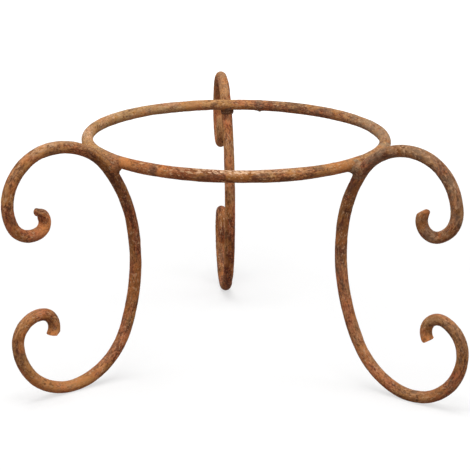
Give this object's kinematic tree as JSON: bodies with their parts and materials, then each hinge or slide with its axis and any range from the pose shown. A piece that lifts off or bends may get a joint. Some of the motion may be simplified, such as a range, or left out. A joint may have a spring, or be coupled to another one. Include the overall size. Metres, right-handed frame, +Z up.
{
  "type": "plant stand",
  "caption": "Low rusted-iron plant stand: a round hoop that holds a pot, welded to C-scroll legs of the same round bar.",
  "frame": {"origin": "the centre of the hoop, on the centreline of its bar", "axes": "+Z up from the level floor; the front of the stand, between its two nearer legs, faces -Y; +X is to the right of someone facing it"},
  "size_m": [0.3847, 0.4184, 0.2323],
  "materials": {
    "hoop_iron": "matt rust, rubbed paler along the top",
    "leg_iron": "matt pitted rust",
    "weld_iron": "matt rust with grey scale"
  },
  "bodies": {
    "root": {"hoop": "hoop_iron", "leg_left": "leg_iron", "leg_right": "leg_iron", "leg_back": "leg_iron", "weld_left": "weld_iron", "weld_right": "weld_iron", "weld_back": "weld_iron", "hoop_seam_weld": "weld_iron"}
  },
  "joints": []
}
